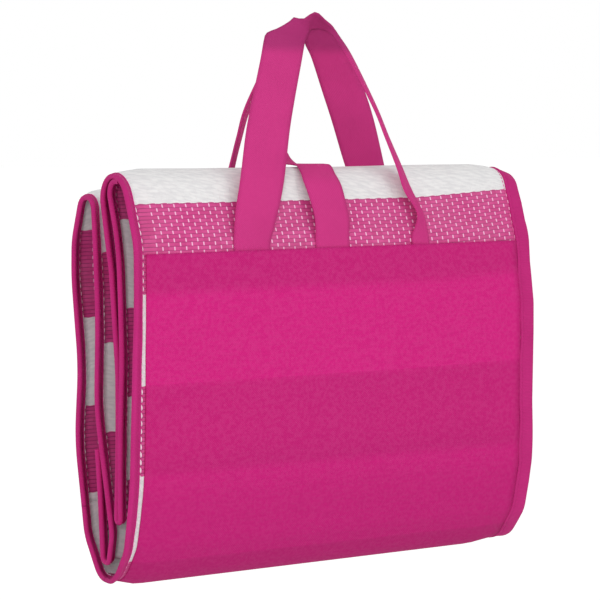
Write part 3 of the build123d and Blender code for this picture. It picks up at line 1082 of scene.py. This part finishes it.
# %% the tree that sews
SEGMENTS, RINGS = 6, 5      # of the bead that each stitch is
coarse = {"Step": 0.0079, "Length": 0.0054, "Thread": 0.0021}   # in metres
fine = {"Step": 0.0045, "Length": 0.0034, "Thread": 0.0009}
sew = bpy.data.node_groups.new("sew_along", "GeometryNodeTree")


def sew_socket(name, way, kind):
    return sew.interface.new_socket(name, in_out=way, socket_type="NodeSocket" + kind)


sew_socket("Line", "INPUT", "Geometry")
for name, size in coarse.items():
    sew_socket(name, "INPUT", "Float").default_value = size
sew_socket("Finish", "INPUT", "Material")
sew_socket("Stitches", "OUTPUT", "Geometry")


def sew_node(kind, settings=None, **links):
    """A node of the sewing tree; links name its sockets."""
    new = sew.nodes.new(kind)
    for key, setting in (settings or {}).items():
        setattr(new, key, setting)
    for name, given in links.items():
        if isinstance(given, bpy.types.NodeSocket):
            sew.links.new(given, new.inputs[name])
        else:
            new.inputs[name].default_value = given
    return new


given = sew_node("NodeGroupInput").outputs
curve = sew_node("GeometryNodeMeshToCurve", Mesh=given["Line"]).outputs[0]
points = sew_node("GeometryNodeCurveToPoints", {"mode": "LENGTH"}, Curve=curve,
                  Length=given["Step"]).outputs
bead = sew_node("GeometryNodeMeshUVSphere", Segments=SEGMENTS, Rings=RINGS, Radius=0.5)
shape = sew_node("ShaderNodeCombineXYZ", X=given["Thread"], Y=given["Thread"],
                 Z=given["Length"]).outputs[0]
laid = sew_node("GeometryNodeInstanceOnPoints", Points=points["Points"],
                Instance=bead.outputs["Mesh"], Rotation=points["Rotation"], Scale=shape)
real = sew_node("GeometryNodeRealizeInstances", Geometry=laid.outputs[0])
smooth = sew_node("GeometryNodeSetShadeSmooth", Geometry=real.outputs[0])
dyed = sew_node("GeometryNodeSetMaterial", Geometry=smooth.outputs[0], Material=given["Finish"])
sew_node("NodeGroupOutput", Stitches=dyed.outputs[0])
print("sewing tree:", len(sew.nodes), "nodes")


# %% sew along lines
def sewn(name, lines, sizes, finish):
    """Stitches along lines of points in metres, as one plain mesh."""
    points, edges = [], []
    for line in lines:
        edges += [(len(points) + k, len(points) + k + 1) for k in range(len(line) - 1)]
        points += [tuple(point) for point in line]
    base = bpy.data.meshes.new(name + "_line")
    base.from_pydata(points, edges, [])
    guide = bpy.data.objects.new(name + "_guide", base)
    bpy.context.collection.objects.link(guide)
    machine = guide.modifiers.new("sew", "NODES")
    machine.node_group = sew
    for socket in sew.interface.items_tree:
        if socket.in_out == "INPUT" and socket.name in sizes:
            machine[socket.identifier] = sizes[socket.name]
        if socket.name == "Finish":
            machine[socket.identifier] = finish
    bpy.context.view_layer.update()
    evaluated = guide.evaluated_get(bpy.context.evaluated_depsgraph_get())
    made = bpy.data.meshes.new_from_object(evaluated)
    guide.modifiers.clear()
    bpy.data.objects.remove(guide)
    piece = bpy.data.objects.new(name, made)
    made.name = name
    bpy.context.collection.objects.link(piece)
    return piece


def seam(name, span, side, tape_w, rows, sizes, finish):
    """A seam beside a tape, on both faces; rows are (in from the tape, late by) in mm."""
    lines = []
    for face in (-1, 1):
        for row_in, late in rows:
            s = np.arange(span[0] + 2 + late, span[1] - 2, 3.0)
            lines.append(spot(s, side * (HALF_WIDTH - tape_w - row_in), face * (HALF_T + 0.25)))
    return sewn(name, lines, sizes, finish)


# %% the seams beside the bindings
SEAM_START = 4
double_row = [(2.1, 0.0), (4.1, coarse["Step"] / 2 / MM)]
single_row = [(1.6, 0.0)]
for word, *beside in (("left", -1, LEFT_TAPE_W, double_row, coarse, pale_thread),
                      ("right", 1, TAPE_W, single_row, fine, pink_thread)):
    pieces = in_runs(f"stitches_{word}", SEAM_START, None, seam, *beside)
    faces = sum(len(piece.data.polygons) for piece in pieces)
    print(word, "stitches:", faces // (SEGMENTS * RINGS))
